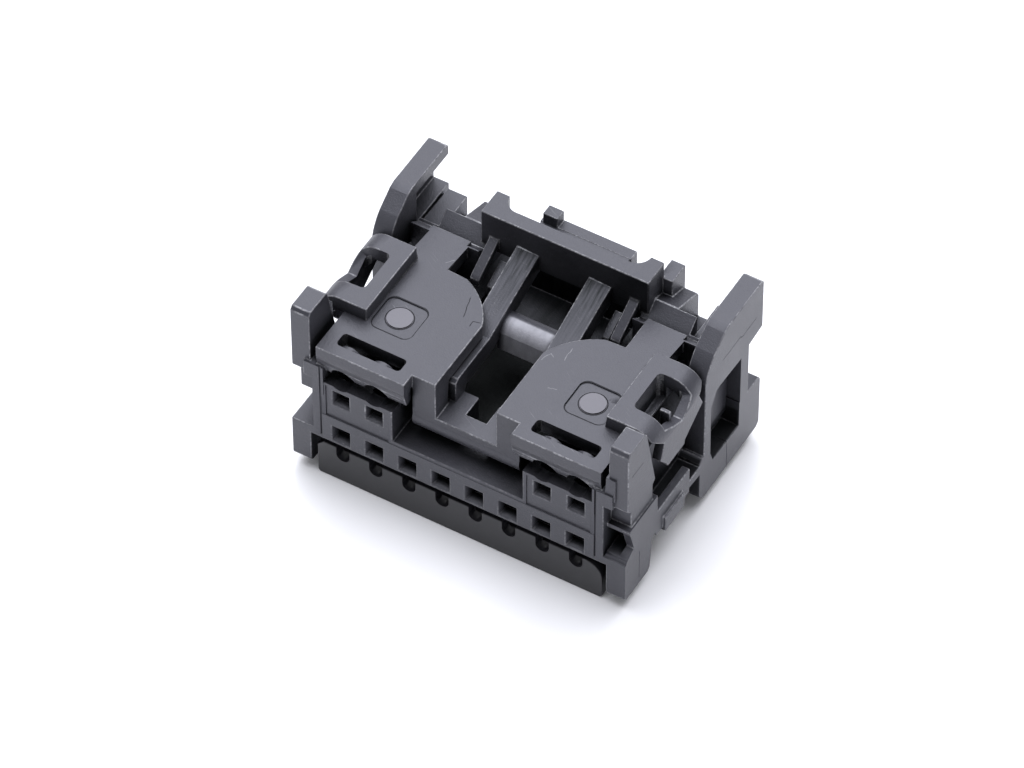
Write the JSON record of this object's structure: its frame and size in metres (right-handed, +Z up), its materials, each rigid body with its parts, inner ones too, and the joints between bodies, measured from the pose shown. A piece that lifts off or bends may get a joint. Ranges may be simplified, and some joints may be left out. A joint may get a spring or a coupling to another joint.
{
  "type": "electrical connector",
  "caption": "Rectangular wire plug with two rows of square ports, a central thumb latch between side guards, and a slide-in terminal retainer under its front.",
  "frame": {"origin": "middle of the part's footprint, level with the lowest edge of the retainer", "axes": "+X along the row of ports to the right seen from the front, +Y from the mating face to the wire side, +Z up from the feet to the latch"},
  "size_m": [0.0184, 0.0128, 0.0108],
  "materials": {
    "housing": "moulded charcoal plastic, fine satin texture",
    "retainer": "moulded black plastic, smooth satin"
  },
  "bodies": {
    "housing": {"housing": "housing"},
    "retainer": {"retainer": "retainer"}
  },
  "joints": [
    {"name": "retainer_slide", "type": "slide", "parent": "housing", "child": "retainer", "axis": [0, 0, 1], "range_m": [0, 0.00035]}
  ]
}
